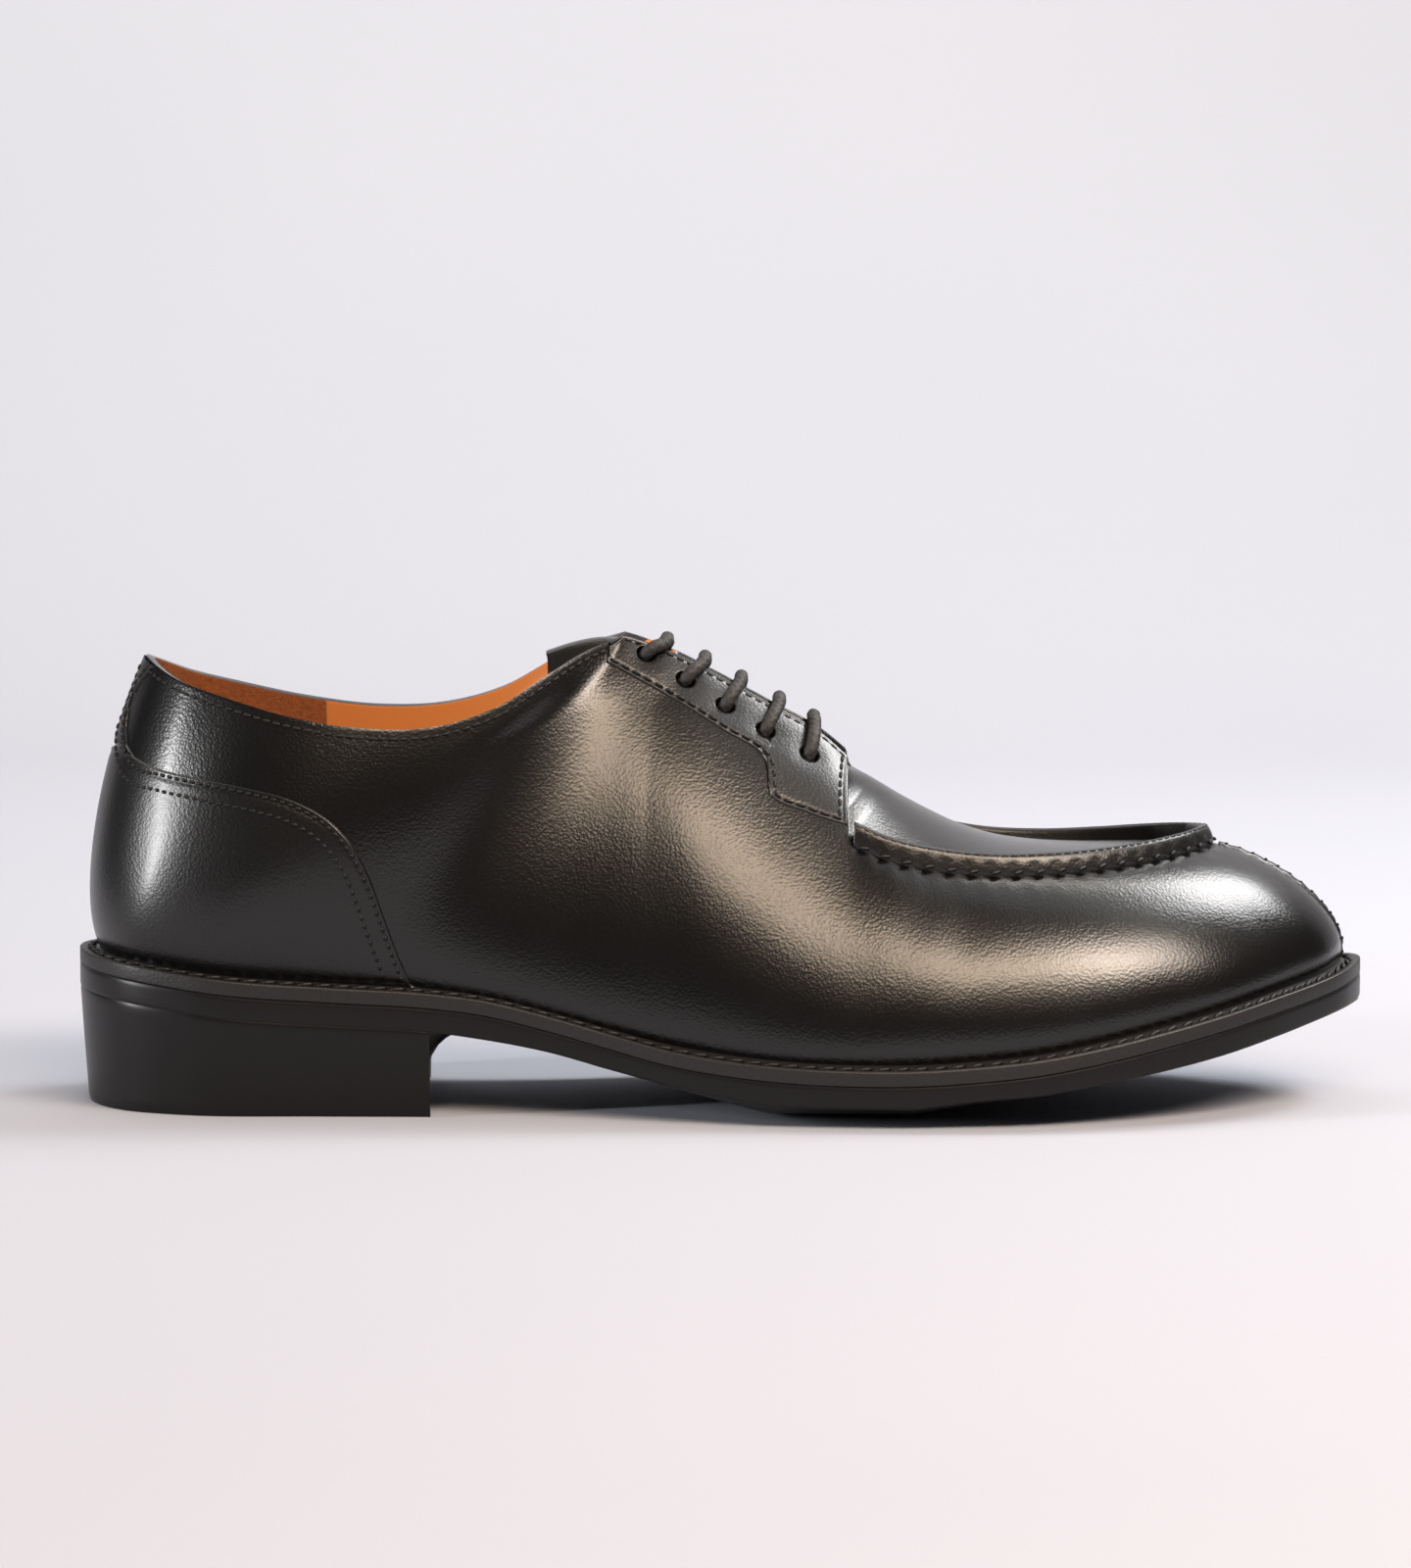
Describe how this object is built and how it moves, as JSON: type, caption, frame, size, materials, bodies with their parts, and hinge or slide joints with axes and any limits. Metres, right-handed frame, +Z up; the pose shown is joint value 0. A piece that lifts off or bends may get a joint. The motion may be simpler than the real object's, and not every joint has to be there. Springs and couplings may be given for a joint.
{
  "type": "apron toe derby",
  "caption": "Right derby shoe with an apron toe: hollow leather upper, welted sole, stacked heel and a laced, tongue-backed throat.",
  "frame": {"origin": "on the floor, under the middle of the shoe's bounding box", "axes": "+X from heel to toe, +Y towards the inner (big toe) side, +Z up"},
  "size_m": [0.3064, 0.1058, 0.1136],
  "materials": {
    "sole_edge": "satin black edge ink on leather",
    "heel_stack": "satin black stacked leather",
    "welt_leather": "satin black, stitched",
    "insole_leather": "smooth tan",
    "calf_leather": "polished black calf, fine grain",
    "counter_leather": "polished black calf, fine grain",
    "eyestay_leather": "polished black calf, fine grain",
    "rim_leather": "polished black calf, hand sewn",
    "tongue_leather": "black calf",
    "lace_cord": "waxed braided cotton, black"
  },
  "bodies": {
    "root": {"outsole": "sole_edge", "heel": "heel_stack", "welt": "welt_leather", "insole": "insole_leather", "upper": "calf_leather", "counter": "counter_leather", "eyestay_lateral": "eyestay_leather", "eyestay_medial": "eyestay_leather", "apron_rim": "rim_leather", "toe_seam": "rim_leather", "tongue": "tongue_leather", "lace_bar_1": "lace_cord", "lace_bar_2": "lace_cord", "lace_bar_3": "lace_cord", "lace_bar_4": "lace_cord", "lace_bar_5": "lace_cord"}
  },
  "joints": []
}
